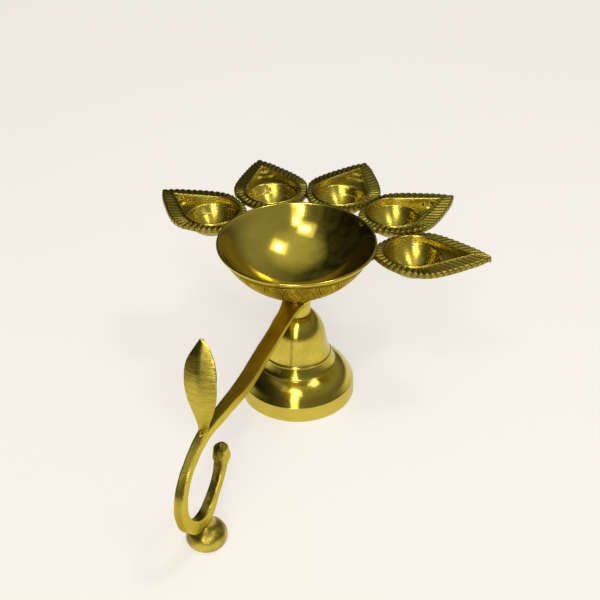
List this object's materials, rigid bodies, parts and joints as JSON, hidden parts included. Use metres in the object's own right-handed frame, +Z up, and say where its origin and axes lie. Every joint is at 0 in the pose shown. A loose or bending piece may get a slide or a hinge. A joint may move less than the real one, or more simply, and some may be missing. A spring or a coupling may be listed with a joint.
{
  "type": "aarti lamp",
  "caption": "Brass ritual oil lamp: a round bowl and a fan of teardrop wick cups on a bell pedestal, held by a bar handle with a finger curl and a leaf thumb rest.",
  "frame": {"origin": "middle of the lamp's footprint box at table level", "axes": "+Z up, handle towards -Y, fan of cups towards +Y, +X to the right seen from the handle"},
  "size_m": [0.1648, 0.2182, 0.0912],
  "materials": {
    "polished_brass": "polished",
    "fluted_brass": "polished, fluted rim",
    "satin_brass": "satin",
    "cast_brass": "cast and filed",
    "brushed_brass": "brushed",
    "braze_brass": "rough filler",
    "fixing_steel": "plain"
  },
  "bodies": {
    "pedestal_body": {"pedestal": "polished_brass", "neck_collar": "satin_brass"},
    "handle_body": {"handle_arm": "cast_brass", "thumb_leaf": "brushed_brass", "leaf_braze": "braze_brass", "handle_foot": "cast_brass"},
    "head_body": {"bowl": "polished_brass", "centre_stud": "fixing_steel", "petal_cup_1": "fluted_brass", "petal_cup_2": "fluted_brass", "petal_cup_3": "fluted_brass", "petal_cup_4": "fluted_brass", "petal_cup_5": "fluted_brass", "bowl_braze_1": "braze_brass", "bowl_braze_2": "braze_brass", "bowl_braze_3": "braze_brass", "bowl_braze_4": "braze_brass", "bowl_braze_5": "braze_brass", "petal_braze_1": "braze_brass", "petal_braze_2": "braze_brass", "petal_braze_3": "braze_brass", "petal_braze_4": "braze_brass"},
    "washer_body": {"stud_washer": "fixing_steel"},
    "nut_body": {"stud_nut": "fixing_steel"}
  },
  "joints": [
    {"name": "handle_swivel", "type": "hinge", "parent": "pedestal_body", "child": "handle_body", "pos_m": [-0.00158, 0.02288, 0.0516], "axis": [0, 0, 1], "continuous": true},
    {"name": "head_turn", "type": "hinge", "parent": "pedestal_body", "child": "head_body", "pos_m": [-0.00158, 0.02288, 0.0527], "axis": [0, 0, 1], "continuous": true},
    {"name": "nut_travel", "type": "slide", "parent": "head_body", "child": "washer_body", "axis": [0, 0, -1], "range_m": [0, 0.005]},
    {"name": "nut_turn", "type": "hinge", "parent": "washer_body", "child": "nut_body", "pos_m": [-0.00158, 0.02288, 0.0353], "axis": [0, 0, -1], "range_deg": [0, 1800.5]}
  ],
  "couplings": [
    {"joint": "nut_turn", "follows": "nut_travel", "rad_per_m": 6283.2}
  ]
}
